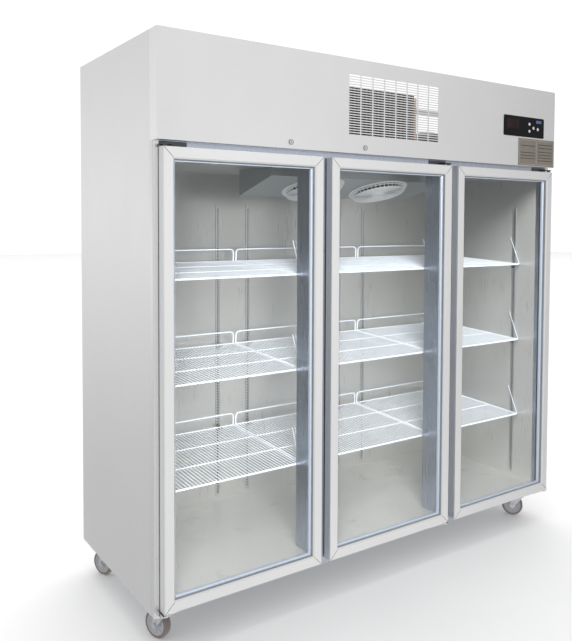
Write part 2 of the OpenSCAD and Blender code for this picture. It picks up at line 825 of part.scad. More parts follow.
// Puts children in a caster's own frame: swivel axis on Z, wheel trailing along +Y
module at_caster(i) {
    c = caster_pos[i];
    translate([c[0], c[1], 0]) rotate(c[2]) children();
}

module caster_fork(i) {
    leg_x = wheel_w / 2 + 2;
    leg_t = 3;
    color("silver") at_caster(i) {
        difference() {
            union() {
                translate([0, 0, 108]) cylinder(r = 29, h = 4, $fn = 64);
                box([-leg_x - leg_t, -18, 108], [leg_x + leg_t, 34, 112]);
            }
            translate([0, 0, 100]) cylinder(r = kingpin_r + shaft_play, h = 20, $fn = 48);
        }
        for (s = [-1, 1]) along_x(min(s * leg_x, s * (leg_x + leg_t)), max(s * leg_x, s * (leg_x + leg_t)))
            polygon([
                [-18, 111], [-18, 100], [caster_trail - 13, wheel_r], [caster_trail - 9, wheel_r - 10],
                [caster_trail, wheel_r - 13], [caster_trail + 9, wheel_r - 10],
                [caster_trail + 13, wheel_r], [34, 100], [34, 111]
            ]);
        translate([-leg_x - leg_t - 5, caster_trail, wheel_r]) rotate([0, 90, 0])
            cylinder(r = axle_r, h = 2 * (leg_x + leg_t + 5), $fn = 48);
        for (s = [-1, 1]) translate([s * (leg_x + leg_t + 2), caster_trail, wheel_r]) rotate([0, 90, 0])
            cylinder(r = 9, h = 5, center = true, $fn = 6);
    }
}

module caster_wheel(i) {
    hw = wheel_w / 2;
    color("gray") at_caster(i) translate([0, caster_trail, wheel_r]) rotate([0, 90, 0])
        rotate_extrude($fn = 96) polygon([
            [axle_r + shaft_play, -hw], [14, -hw], [16, -hw + 5], [34, -hw + 5], [36, -hw + 1],
            [wheel_r - 5, -hw + 1], [wheel_r - 1.5, -hw + 3], [wheel_r, -hw + 7],
            [wheel_r, hw - 7], [wheel_r - 1.5, hw - 3], [wheel_r - 5, hw - 1],
            [36, hw - 1], [34, hw - 5], [16, hw - 5], [14, hw], [axle_r + shaft_play, hw]
        ]);
}

module caster_fork_front_left() { caster_fork(0); }
module caster_fork_front_right() { caster_fork(1); }
module caster_fork_rear_left() { caster_fork(2); }
module caster_fork_rear_right() { caster_fork(3); }
module caster_wheel_front_left() { caster_wheel(0); }
module caster_wheel_front_right() { caster_wheel(1); }
module caster_wheel_rear_left() { caster_wheel(2); }
module caster_wheel_rear_right() { caster_wheel(3); }

// ------------------------------------------------------------------ what is drawn

left_side_panel();
right_side_panel();
back_panel();
base_pan();
insulation();
inner_liner();
face_frame();
door_mullions();
header_panel();
header_deck();
unit_base();
compressor();
condenser_coil();
fan_shroud();
condenser_fan_motor();
condenser_fan();
refrigerant_pipes();
electrical_box();
controller_bezel();
key_up();
key_down();
key_set();
key_light();
lock_housings();
lock_left();
lock_middle();
evaporator_housing();
evaporator_coil();
evaporator_fan_motors();
evaporator_fan_left();
evaporator_fan_right();
fan_guards();
drain_pan();
shelf_standards();
shelf_clips();
shelves_top();
shelves_middle();
shelves_bottom();
top_hinge_brackets();
bottom_hinge_brackets();
door_left_frame();
door_left_glass();
door_left_gasket();
door_middle_frame();
door_middle_glass();
door_middle_gasket();
door_right_frame();
door_right_glass();
door_right_gasket();
caster_plates();
caster_fork_front_left();
caster_fork_front_right();
caster_fork_rear_left();
caster_fork_rear_right();
caster_wheel_front_left();
caster_wheel_front_right();
caster_wheel_rear_left();
caster_wheel_rear_right();
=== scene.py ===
"""Looks for the three-door reach-in refrigerator: materials, detailed meshes, light and camera."""

import json
import math

import bmesh
import bpy
from mathutils import Matrix, Vector


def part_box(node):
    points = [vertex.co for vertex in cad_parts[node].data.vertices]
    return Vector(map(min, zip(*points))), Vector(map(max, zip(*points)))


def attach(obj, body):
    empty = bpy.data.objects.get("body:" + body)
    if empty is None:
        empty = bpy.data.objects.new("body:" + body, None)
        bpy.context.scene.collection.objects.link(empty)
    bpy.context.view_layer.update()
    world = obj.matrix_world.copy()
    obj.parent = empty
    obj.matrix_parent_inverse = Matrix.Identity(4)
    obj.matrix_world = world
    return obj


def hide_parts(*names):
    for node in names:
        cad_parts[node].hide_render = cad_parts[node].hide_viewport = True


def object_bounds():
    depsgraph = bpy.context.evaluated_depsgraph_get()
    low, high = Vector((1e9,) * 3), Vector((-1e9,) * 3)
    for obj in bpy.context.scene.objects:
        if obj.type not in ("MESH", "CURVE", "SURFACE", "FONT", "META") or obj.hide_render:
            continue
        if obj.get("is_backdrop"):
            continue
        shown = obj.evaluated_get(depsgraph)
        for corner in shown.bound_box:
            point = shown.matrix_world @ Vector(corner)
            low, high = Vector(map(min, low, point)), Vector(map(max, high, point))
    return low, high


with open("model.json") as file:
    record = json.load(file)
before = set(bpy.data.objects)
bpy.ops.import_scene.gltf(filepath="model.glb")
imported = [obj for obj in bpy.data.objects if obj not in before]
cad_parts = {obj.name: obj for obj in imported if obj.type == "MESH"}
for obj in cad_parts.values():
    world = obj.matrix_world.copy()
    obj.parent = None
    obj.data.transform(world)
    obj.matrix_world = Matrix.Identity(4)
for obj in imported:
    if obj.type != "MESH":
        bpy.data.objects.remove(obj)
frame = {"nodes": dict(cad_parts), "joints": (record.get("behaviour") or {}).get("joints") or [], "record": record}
CAD_LOW, CAD_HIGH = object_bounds()
NODES = frame["nodes"]
MM = 0.001

# ---------------------------------------------------------------- sizes shared with the CAD
SHELF_COLUMNS = ((-0.975, -0.366), (-0.358, 0.358), (0.366, 0.975))
SHELF_NODES = ("shelves_bottom", "shelves_middle", "shelves_top")
WIRE_PITCH = 15.6 * MM
SHELF_RUN = 544 * MM
SHELF_TILT = math.asin(25.4 * MM / SHELF_RUN)
RAIL_R = 3.0 * MM
CROSS_R = 2.4 * MM
WIRE_R = 1.7 * MM
END_ROD_R = 1.5 * MM
LOOP_H = 55 * MM
LOOP_BEND = 18 * MM
CORNER_BEND = 10 * MM
WIRE_BEND = 4 * MM
END_ROD_REACH = 62 * MM
END_ROD_RISE = 130 * MM

DOORS = ("left", "middle", "right")
STILE = 40 * MM
PANE = 4 * MM
BEAD_PROUD = 3.5 * MM

PLATE_WIDTH = 264 * MM
PLATE_HEIGHT = 127 * MM

CASTERS = ("front_left", "front_right", "rear_left", "rear_right")
WHEEL_R = 50 * MM
WHEEL_HALF = 16 * MM
WHEEL_SPOKES = 8


# ---------------------------------------------------------------- mesh helpers
def new_piece(name, bm, material, body, smooth=38):
    """A mesh object from bm that rides on a body."""
    mesh = bpy.data.meshes.new(name)
    bmesh.ops.remove_doubles(bm, verts=bm.verts, dist=1e-6)
    bmesh.ops.recalc_face_normals(bm, faces=bm.faces)
    bm.to_mesh(mesh)
    bm.free()
    for polygon in mesh.polygons:
        polygon.use_smooth = True
    mesh.set_sharp_from_angle(angle=math.radians(smooth))
    mesh.materials.append(material)
    obj = bpy.data.objects.new(name, mesh)
    bpy.context.scene.collection.objects.link(obj)
    if body is not None:
        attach(obj, body)
    return obj


def add_mesh(bm, verts, faces, matrix=None):
    """Adds points and the faces between them to bm."""
    made = [bm.verts.new(matrix @ Vector(v) if matrix else v) for v in verts]
    for face in faces:
        bm.faces.new([made[i] for i in face])


def tube(bm, points, radius, sides=10, matrix=None):
    """A round wire along points, with closed ends."""
    points = [Vector(p) for p in points]
    count = len(points)
    tangents = []
    for i in range(count):
        before = points[i] - points[i - 1] if i else points[1] - points[0]
        after = points[i + 1] - points[i] if i < count - 1 else before
        tangents.append((before.normalized() + after.normalized()).normalized())
    side = tangents[0].orthogonal().normalized()
    verts = []
    for i, (p, t) in enumerate(zip(points, tangents)):
        side = (side - t * side.dot(t)).normalized()
        other = t.cross(side)
        stretch = 1.0
        if 0 < i < count - 1:
            stretch = 1 / max(0.5, t.dot((points[i + 1] - p).normalized()))
        for k in range(sides):
            a = 2 * math.pi * k / sides
            verts.append(p + (side * math.cos(a) + other * math.sin(a)) * radius * stretch)
    faces = [tuple(range(sides - 1, -1, -1)),
             tuple((count - 1) * sides + k for k in range(sides))]
    for i in range(count - 1):
        for k in range(sides):
            n = (k + 1) % sides
            faces.append((i * sides + k, i * sides + n, (i + 1) * sides + n, (i + 1) * sides + k))
    add_mesh(bm, verts, faces, matrix)


def arc(centre, radius, start, end, steps, u, v):
    """Points on an arc in the plane of u and v, angles in degrees."""
    out = []
    for i in range(steps + 1):
        a = math.radians(start + (end - start) * i / steps)
        out.append(Vector(centre) + Vector(u) * radius * math.cos(a)
                   + Vector(v) * radius * math.sin(a))
    return out


def lathe(bm, profile, steps, matrix=None):
    """Turns a closed profile of (radius, height) pairs round Z."""
    n = len(profile)
    verts = []
    for i in range(steps):
        a = math.radians(360 * i / steps)
        verts += [(r * math.cos(a), r * math.sin(a), h) for r, h in profile]
    faces = []
    for i in range(steps):
        j = (i + 1) % steps
        for k in range(n):
            m = (k + 1) % n
            faces.append((i * n + k, j * n + k, j * n + m, i * n + m))
    add_mesh(bm, verts, faces, matrix)


def slab(bm, low, high, bevel=0.0, matrix=None):
    """A block with rounded edges."""
    part = bmesh.new()
    bmesh.ops.create_cube(part, size=1)
    size = Vector(high) - Vector(low)
    middle = (Vector(high) + Vector(low)) / 2
    for v in part.verts:
        v.co = Vector([v.co[k] * size[k] for k in range(3)]) + middle
    if bevel:
        bmesh.ops.bevel(part, geom=part.edges[:], offset=bevel, segments=2,
                        affect="EDGES", profile=0.5)
    copy_into(bm, part, matrix)


def copy_into(bm, part, matrix=None):
    """Adds part's mesh to bm and frees part."""
    part.verts.index_update()
    add_mesh(bm, [v.co.copy() for v in part.verts],
             [[v.index for v in f.verts] for f in part.faces], matrix)
    part.free()


def frame_strip(bm, x0, x1, z0, z1, profile):
    """A mitred ring in the XZ plane. profile holds (inset from the outer edge, y) pairs."""
    corners = ((x0, z0, 1, 1), (x1, z0, -1, 1), (x1, z1, -1, -1), (x0, z1, 1, -1))
    n = len(profile)
    verts = [(x + sx * inset, y, z + sz * inset) for x, z, sx, sz in corners for inset, y in profile]
    faces = [(i * n + k, ((i + 1) % 4) * n + k, ((i + 1) % 4) * n + (k + 1) % n, i * n + (k + 1) % n)
             for i in range(4) for k in range(n)]
    add_mesh(bm, verts, faces)


def facing(normal, up=(0, 0, 1)):
    """Rotation whose Z is normal."""
    z = Vector(normal).normalized()
    x = Vector(up).cross(z)
    if x.length < 1e-4:
        x = Vector((1, 0, 0))
    x.normalize()
    y = z.cross(x)
    return Matrix((x, y, z)).transposed().to_4x4()


def bolt_head(bm, at, normal, radius, height, hexagon=True):
    """A hexagon bolt head or a round screw head."""
    matrix = Matrix.Translation(at) @ facing(normal)
    sides = 6 if hexagon else 24
    crown = radius * (0.86 if hexagon else 0.7)
    lathe(bm, [(0, 0), (radius, 0), (radius, height * 0.7), (crown, height), (0, height)],
          sides, matrix)


# ---------------------------------------------------------------- materials
GRAIN_ACROSS = 700
GRAIN_ALONG = 10


def shader(name):
    material = bpy.data.materials.new(name)
    material.use_nodes = True
    tree = material.node_tree
    bsdf = tree.nodes["Principled BSDF"]
    return material, tree, bsdf


def coordinates(tree, scale):
    where = tree.nodes.new("ShaderNodeTexCoord")
    mapping = tree.nodes.new("ShaderNodeMapping")
    mapping.inputs["Scale"].default_value = scale
    tree.links.new(where.outputs["Object"], mapping.inputs["Vector"])
    return mapping.outputs["Vector"]


def ranged(tree, value, low, high, start=0.3, end=0.7):
    """Maps value from start..end to low..high."""
    spread = tree.nodes.new("ShaderNodeMapRange")
    spread.inputs["From Min"].default_value = start
    spread.inputs["From Max"].default_value = end
    spread.inputs["To Min"].default_value = low
    spread.inputs["To Max"].default_value = high
    tree.links.new(value, spread.inputs["Value"])
    return spread.outputs["Result"]


def noise(tree, scale, detail=3.0, vector_scale=(1, 1, 1)):
    made = tree.nodes.new("ShaderNodeTexNoise")
    made.inputs["Scale"].default_value = scale
    made.inputs["Detail"].default_value = detail
    made.inputs["Roughness"].default_value = 0.55
    tree.links.new(coordinates(tree, vector_scale), made.inputs["Vector"])
    return made.outputs["Fac"]


def blend_colors(tree, value, dark, light, start=0.35, end=0.65):
    """A ramp from dark to light as value goes from start to end."""
    ramp = tree.nodes.new("ShaderNodeValToRGB")
    ramp.color_ramp.elements[0].position = start
    ramp.color_ramp.elements[1].position = end
    ramp.color_ramp.elements[0].color = (*dark, 1)
    ramp.color_ramp.elements[1].color = (*light, 1)
    tree.links.new(value, ramp.inputs["Fac"])
    return ramp.outputs["Color"]


def bump(tree, bsdf, height, strength, distance):
    made = tree.nodes.new("ShaderNodeBump")
    made.inputs["Strength"].default_value = strength
    made.inputs["Distance"].default_value = distance
    tree.links.new(height, made.inputs["Height"])
    tree.links.new(made.outputs["Normal"], bsdf.inputs["Normal"])


def add_values(tree, a, b):
    made = tree.nodes.new("ShaderNodeMath")
    made.operation = "ADD"
    tree.links.new(a, made.inputs[0])
    tree.links.new(b, made.inputs[1])
    return made.outputs["Value"]


def shade(color, factor):
    return tuple(min(1.0, c * factor) for c in color)


def brushed(name, color, grain="Z", metallic=0.7, rough=0.36, contrast=0.025, coarse=1.6,
            relief=0.015):
    """Sheet metal with a fine directional grain, handling marks and slow tone changes."""
    material, tree, bsdf = shader(name)
    across, along = GRAIN_ACROSS, GRAIN_ALONG
    scale = {"X": (along, across, across), "Z": (across, across, along)}[grain]
    lines = noise(tree, 1.0, 4.0, scale)
    clouds = noise(tree, coarse, 3.0)
    smears = noise(tree, 9.0, 5.0, (1, 1, 0.35))
    tone = add_values(tree, ranged(tree, lines, 0.0, 0.5), ranged(tree, clouds, 0.0, 0.5))
    color_out = blend_colors(tree, tone, shade(color, 1 - contrast), shade(color, 1 + contrast),
                             0.2, 0.8)
    tree.links.new(color_out, bsdf.inputs["Base Color"])
    gloss = add_values(tree, ranged(tree, lines, rough - 0.03, rough + 0.03),
                       ranged(tree, smears, -0.02, 0.03))
    tree.links.new(gloss, bsdf.inputs["Roughness"])
    bsdf.inputs["Metallic"].default_value = metallic
    bump(tree, bsdf, lines, relief, 0.0003)
    return material


def paint_highlight_on_outer_stiles(material, color, edge_x):
    """Past edge_x on either side the metal's tone turns to color, a painted highlight on the outer stiles."""
    tree = material.node_tree
    bsdf = tree.nodes["Principled BSDF"]
    parts = tree.nodes.new("ShaderNodeSeparateXYZ")
    tree.links.new(coordinates(tree, (1, 1, 1)), parts.inputs["Vector"])
    size = tree.nodes.new("ShaderNodeMath")
    size.operation = "ABSOLUTE"
    tree.links.new(parts.outputs["X"], size.inputs[0])
    share = ranged(tree, size.outputs["Value"], 0.0, 1.0, edge_x - 2 * MM, edge_x + 2 * MM)
    tint = tree.nodes.new("ShaderNodeMix")
    tint.data_type = "RGBA"
    tint.inputs["B"].default_value = (*color, 1)
    tree.links.new(share, tint.inputs["Factor"])
    tree.links.new(bsdf.inputs["Base Color"].links[0].from_socket, tint.inputs["A"])
    tree.links.new(tint.outputs["Result"], bsdf.inputs["Base Color"])


def painted(name, color, rough=0.4, metallic=0.0, speckle=260.0, depth=0.08, wear=0.1, coat=0.0,
            specular=0.5):
    """Paint or moulded plastic with a fine texture and slow tone changes."""
    material, tree, bsdf = shader(name)
    fine = noise(tree, speckle, 4.0)
    clouds = noise(tree, 5.0, 4.0)
    tone = add_values(tree, ranged(tree, fine, 0.0, 0.35), ranged(tree, clouds, 0.0, 0.65))
    tree.links.new(blend_colors(tree, tone, shade(color, 1 - wear), shade(color, 1 + wear), 0.2, 0.8),
                   bsdf.inputs["Base Color"])
    tree.links.new(ranged(tree, clouds, rough - 0.07, rough + 0.1), bsdf.inputs["Roughness"])
    bsdf.inputs["Metallic"].default_value = metallic
    bsdf.inputs["Coat Weight"].default_value = coat
    bsdf.inputs["Specular IOR Level"].default_value = specular
    bump(tree, bsdf, fine, depth, 0.0006)
    return material


def fins_with_painted_gap_shade(name, color):
    """A coil block's closely spaced fins, side by side along X, with the dark gaps between them as painted shade.
    """
    material, tree, bsdf = shader(name)
    wave = tree.nodes.new("ShaderNodeTexWave")
    wave.bands_direction = "X"
    wave.inputs["Scale"].default_value = 1 / (3.0 * MM * 20 / (2 * math.pi))
    tree.links.new(coordinates(tree, (1, 1, 1)), wave.inputs["Vector"])
    dust = noise(tree, 30.0, 4.0)
    # The dark bands are painted shade between the fins.
    tree.links.new(blend_colors(tree, wave.outputs["Fac"], shade(color, 0.25), color, 0.2, 0.8),
                   bsdf.inputs["Base Color"])
    tree.links.new(ranged(tree, dust, 0.35, 0.6), bsdf.inputs["Roughness"])
    bsdf.inputs["Metallic"].default_value = 0.7
    bump(tree, bsdf, wave.outputs["Fac"], 0.5, 0.001)
    return material


def foam(name, color):
    """Cut insulation foam: fine cells."""
    material, tree, bsdf = shader(name)
    cells = tree.nodes.new("ShaderNodeTexVoronoi")
    cells.inputs["Scale"].default_value = 420
    tree.links.new(coordinates(tree, (1, 1, 1)), cells.inputs["Vector"])
    clouds = noise(tree, 8.0)
    tree.links.new(blend_colors(tree, clouds, shade(color, 0.8), shade(color, 1.1)),
                   bsdf.inputs["Base Color"])
    tree.links.new(ranged(tree, clouds, 0.75, 0.95), bsdf.inputs["Roughness"])
    bump(tree, bsdf, cells.outputs["Distance"], 0.6, 0.002)
    return material


def pane_glass(name, tint, alpha):
    """A clear pane: a faint film that lets light straight through, with streaks in its gloss."""
    material, tree, bsdf = shader(name)
    streaks = noise(tree, 2.2, 3.0, (1, 1, 0.5))
    tree.links.new(blend_colors(tree, streaks, shade(tint, 0.97), tint), bsdf.inputs["Base Color"])
    tree.links.new(ranged(tree, streaks, 0.02, 0.06), bsdf.inputs["Roughness"])
    tree.links.new(ranged(tree, streaks, alpha * 0.85, alpha * 1.15), bsdf.inputs["Alpha"])
    bsdf.inputs["Specular IOR Level"].default_value = 0.9
    return material


M = {
    "side_steel": brushed("side_steel", (0.78, 0.78, 0.785), "Z", rough=0.34),
    "header_steel": brushed("header_steel", (0.85, 0.85, 0.855), "X", rough=0.32),
    "frame_steel": brushed("frame_steel", (0.48, 0.52, 0.60), "Z", metallic=0.95, rough=0.28,
                           contrast=0.012, relief=0.002),
    "liner_steel": brushed("liner_steel", (0.56, 0.562, 0.545), "Z", metallic=0.62, rough=0.30,
                           contrast=0.03, coarse=2.4, relief=0.006),
    "galvanized_sheet": brushed("galvanized_sheet", (0.60, 0.62, 0.64), "X", rough=0.5,
                                contrast=0.12, coarse=14.0),
    "insulation_foam": foam("insulation_foam", (0.78, 0.68, 0.42)),
    "unit_base_paint": painted("unit_base_paint", (0.20, 0.21, 0.22), 0.5, 0.3),
    "compressor_paint": painted("compressor_paint", (0.022, 0.022, 0.024), 0.32, 0.1, coat=0.4),
    "coil_aluminium": fins_with_painted_gap_shade("coil_aluminium", (0.40, 0.41, 0.43)),
    "motor_paint": painted("motor_paint", (0.26, 0.27, 0.29), 0.45, 0.4),
    "fan_aluminium": brushed("fan_aluminium", (0.70, 0.71, 0.73), "Z", rough=0.38),
    "fan_plastic": painted("fan_plastic", (0.05, 0.05, 0.055), 0.5),
    "copper_pipe": brushed("copper_pipe", (0.72, 0.40, 0.25), "Z", rough=0.34, contrast=0.15,
                           coarse=20.0),
    "electrical_paint": painted("electrical_paint", (0.42, 0.44, 0.46), 0.42, 0.3),
    "controller_plastic": painted("controller_plastic", (0.008, 0.007, 0.009), 0.3,
                                  speckle=600.0, depth=0.02, specular=0.12),
    "key_plastic": painted("key_plastic", (0.80, 0.81, 0.83), 0.4),
    "lock_chrome": brushed("lock_chrome", (0.60, 0.60, 0.62), "Z", metallic=1.0, rough=0.2),
    "evaporator_cover_steel": brushed("evaporator_cover_steel", (0.42, 0.44, 0.44), "X",
                                      metallic=0.6, rough=0.38, relief=0.006),
    "guard_plastic": painted("guard_plastic", (0.86, 0.87, 0.87), 0.38, depth=0.04, wear=0.03),
    "drain_plastic": painted("drain_plastic", (0.28, 0.29, 0.30), 0.6),
    "standard_steel": brushed("standard_steel", (0.64, 0.65, 0.65), "Z", metallic=0.75, rough=0.36),
    "clip_steel": painted("clip_steel", (0.13, 0.14, 0.15), 0.4, 0.6),
    "shelf_coating": painted("shelf_coating", (0.82, 0.88, 0.94), 0.26, depth=0.05, wear=0.03,
                             coat=0.3),
    "hinge_steel": painted("hinge_steel", (0.10, 0.11, 0.12), 0.36, 0.6),
    "hinge_chrome": brushed("hinge_chrome", (0.80, 0.80, 0.82), "X", metallic=1.0, rough=0.14),
    "door_aluminium": brushed("door_aluminium", (0.93, 0.93, 0.93), "Z", metallic=0.72, rough=0.32,
                              relief=0.008),
    "door_glass": pane_glass("door_glass", (0.86, 0.93, 0.95), 0.018),
    "gasket_rubber": painted("gasket_rubber", (0.24, 0.25, 0.27), 0.6, depth=0.2),
    "caster_zinc": brushed("caster_zinc", (0.62, 0.63, 0.66), "Z", metallic=1.0, rough=0.28,
                           contrast=0.14, coarse=40.0),
    "wheel_rubber": painted("wheel_rubber", (0.22, 0.19, 0.18), 0.62, speckle=700.0, depth=0.2),
}
OUTER_STILE = 26 * MM
# The frame's outer stiles are painted lighter than the rest of the same steel: a painted highlight.
paint_highlight_on_outer_stiles(M["frame_steel"], (0.86, 0.87, 0.88),
                     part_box("face_frame")[1][0] - OUTER_STILE)
for entry in frame["record"]["subparts"]:
    data = NODES[entry["node"]].data
    data.materials.clear()
    data.materials.append(M[entry["material_slot"]])

SPACER = brushed("spacer_aluminium", (0.40, 0.45, 0.52), "Z", metallic=0.2, rough=0.3)
EDGE_SEAL = painted("edge_seal", (0.42, 0.50, 0.58), 0.3, coat=0.3)
BEAD = painted("glazing_bead", (0.34, 0.36, 0.39), 0.5, depth=0.15)
# Near black: dark joint lines and print, and also painted shade in the keyways, round the locks and behind the
# upright slots.
DARK_JOINT_AND_SHADE = painted("joint_line_and_painted_shade", (0.03, 0.03, 0.035), 0.7)
HUB = painted("wheel_hub", (0.46, 0.47, 0.49), 0.42, speckle=500.0)
DISPLAY = painted("display_window", (0.020, 0.004, 0.005), 0.12, specular=0.2)
INDICATOR = painted("indicator_patch", (0.05, 0.16, 0.42), 0.25, coat=0.4)
PLATE = painted("data_plate_foil", (0.27, 0.24, 0.20), 0.45, 0.1, speckle=120.0)

# Pieces inside the cabinet that the shelf light reaches
INSIDE = []


# ---------------------------------------------------------------- shelves
def shelf(bm, x0, x1, low):
    """One wire shelf between x0 and x1, its back tilted up round its front rail."""
    z_rail = low[2] + RAIL_R
    front = low[1] + RAIL_R
    back = front + SHELF_RUN
    left = x0 + RAIL_R
    right = x1 - RAIL_R
    corner = CORNER_BEND
    pivot = Vector((0, front, z_rail))
    tilt = (Matrix.Translation(pivot) @ Matrix.Rotation(SHELF_TILT, 4, "X")
            @ Matrix.Translation(-pivot))
    outline = [(left + corner, front, z_rail), (right - corner, front, z_rail)]
    outline += arc((right - corner, front + corner, z_rail), corner, -90, 0, 5,
                   (1, 0, 0), (0, 1, 0))
    outline += [(right, back, z_rail)]
    tube(bm, outline, RAIL_R, 12, tilt)
    outline = [(left, back, z_rail)]
    outline += arc((left + corner, front + corner, z_rail), corner, 180, 270, 5,
                   (1, 0, 0), (0, 1, 0))
    tube(bm, outline, RAIL_R, 12, tilt)
    tube(bm, [(x0, back, z_rail), (x1, back, z_rail)], RAIL_R, 12, tilt)
    for k in (1, 2):
        y = front + k * (back - front) / 3
        tube(bm, [(left, y, z_rail), (right, y, z_rail)], CROSS_R, 10, tilt)
    z_wire = z_rail + RAIL_R - WIRE_R
    lip = 5 * MM
    gaps = round((right - left) / WIRE_PITCH)
    for i in range(1, gaps):
        x = left + i * (right - left) / gaps
        bend = arc((x, front + 1 * MM, z_wire - WIRE_BEND), WIRE_BEND, 90, 180, 4,
                   (0, 1, 0), (0, 0, 1))
        tail = [(x, front - 3 * MM, z_wire - lip)]
        tube(bm, [(x, back + 1 * MM, z_wire), *bend, *tail], WIRE_R, 8, tilt)
    loop = [(left, back, z_rail)]
    bend_z = z_rail + LOOP_H - LOOP_BEND
    loop += arc((left + LOOP_BEND, back, bend_z), LOOP_BEND, 180, 90, 8, (1, 0, 0), (0, 0, 1))
    loop += arc((right - LOOP_BEND, back, bend_z), LOOP_BEND, 90, 0, 8, (1, 0, 0), (0, 0, 1))
    loop += [(right, back, z_rail)]
    tube(bm, loop, RAIL_R * 0.98, 12, tilt)
    for x in (left, right):
        tube(bm, [(x, front, z_rail), (x, front + END_ROD_REACH, z_rail + END_ROD_RISE)],
             END_ROD_R, 8, tilt)


for name in SHELF_NODES:
    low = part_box(name)[0]
    bm = bmesh.new()
    for x0, x1 in SHELF_COLUMNS:
        shelf(bm, x0, x1, low)
    rack = new_piece(name + "_wires", bm, M["shelf_coating"], "cabinet", 50)
    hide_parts(name)
    INSIDE.append(rack)


# ---------------------------------------------------------------- evaporator fan guards
def joint(name):
    """The frame's entry for a joint."""
    return next(j for j in frame["joints"] if j["name"] == name)


def fan_guard(bm, at, normal):
    """A round guard: flange, slotted skirt, concentric rings and spokes."""
    m = Matrix.Translation(at) @ facing(normal, (1, 0, 0))
    rim, skirt_top, face = 136 * MM, 118 * MM, 22 * MM
    ribs, rings, spokes = 40, 14, 8
    first_ring, ring_pitch = 30, 6.2
    lathe(bm, [(121 * MM, 0.4 * MM), (rim, 0.4 * MM), (rim, 3 * MM), (134 * MM, 4.6 * MM),
               (128 * MM, 5.4 * MM), (124 * MM, 3.4 * MM), (121 * MM, 2.4 * MM)], 120, m)
    for i in range(ribs):
        a = 2 * math.pi * i / ribs
        turn = m @ Matrix.Rotation(a, 4, "Z")
        tube(bm, [(130 * MM, 0, 4.6 * MM), (126 * MM, 0, 12 * MM), (skirt_top, 0, face)],
             1.5 * MM, 6, turn)
    for r, z in ((127 * MM, 11 * MM), (skirt_top, face - 0.2 * MM)):
        lathe(bm, [(r - 2.2 * MM, z - 1.2 * MM), (r + 1.6 * MM, z - 1.2 * MM),
                   (r + 1.2 * MM, z + 1.2 * MM), (r - 1.8 * MM, z + 1.2 * MM)], 96, m)
    for i in range(rings):
        r = (first_ring + i * ring_pitch) * MM
        circle = [(r * math.cos(2 * math.pi * k / 72), r * math.sin(2 * math.pi * k / 72), face)
                  for k in range(73)]
        tube(bm, circle, 1.35 * MM, 6, m)
    for i in range(spokes):
        turn = m @ Matrix.Rotation(2 * math.pi * i / spokes, 4, "Z")
        tube(bm, [(20 * MM, 0, face - 1 * MM), (skirt_top, 0, face - 1 * MM)], 1.8 * MM, 8, turn)
    lathe(bm, [(0, face - 2 * MM), (28 * MM, face - 2 * MM), (28 * MM, face),
               (25 * MM, face + 0.9 * MM), (0, face + 0.9 * MM)], 48, m)


bm = bmesh.new()
for side in ("left", "right"):
    spin = joint(f"evaporator_fan_{side}_spin")
    fan_guard(bm, spin["pos_m"], spin["axis"])
guards = new_piece("evaporator_guards", bm, M["guard_plastic"], "cabinet", 40)
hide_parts("fan_guards")
INSIDE.append(guards)


# ---------------------------------------------------------------- condenser coil
low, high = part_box("condenser_coil")
bend_room = 14 * MM
FIN_PITCH = 3.5 * MM
FIN_HALF = 0.2 * MM
END_PLATE = 1.5 * MM
PIPE_R = 4 * MM
PIPE_ROWS = 9
PIPE_ROW_PITCH = 27 * MM
coil_low = Vector((low[0] + bend_room, low[1], low[2]))
coil_high = Vector((high[0] - bend_room, high[1], high[2]))
bm = bmesh.new()
fins = int((coil_high.x - coil_low.x - 8 * MM) / FIN_PITCH)
for i in range(fins):
    x = coil_low.x + 4 * MM + (i + 0.5) * FIN_PITCH
    slab(bm, (x - FIN_HALF, coil_low.y, coil_low.z + 2 * MM),
         (x + FIN_HALF, coil_high.y, coil_high.z - 2 * MM))
for x in (coil_low.x, coil_high.x - END_PLATE):
    slab(bm, (x, coil_low.y, coil_low.z), (x + END_PLATE, coil_high.y, coil_high.z), 0.3 * MM)
coil = new_piece("condenser_fins", bm, M["coil_aluminium"], "cabinet")
bm = bmesh.new()
y0, y1 = coil_low.y + 12 * MM, coil_high.y - 12 * MM
for i in range(PIPE_ROWS):
    z = coil_low.z + 20 * MM + i * PIPE_ROW_PITCH
    for y in (y0, y1):
        tube(bm, [(coil_low.x - 1 * MM, y, z), (coil_high.x + 1 * MM, y, z)], PIPE_R, 12)
    for x, s in ((coil_low.x, -1), (coil_high.x, 1)):
        tube(bm, arc((x, (y0 + y1) / 2, z), (y1 - y0) / 2, 180, 0, 10, (0, -1, 0), (s, 0, 0)),
             PIPE_R, 12)
new_piece("condenser_tubes", bm, M["copper_pipe"], "cabinet", 60)
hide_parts("condenser_coil")

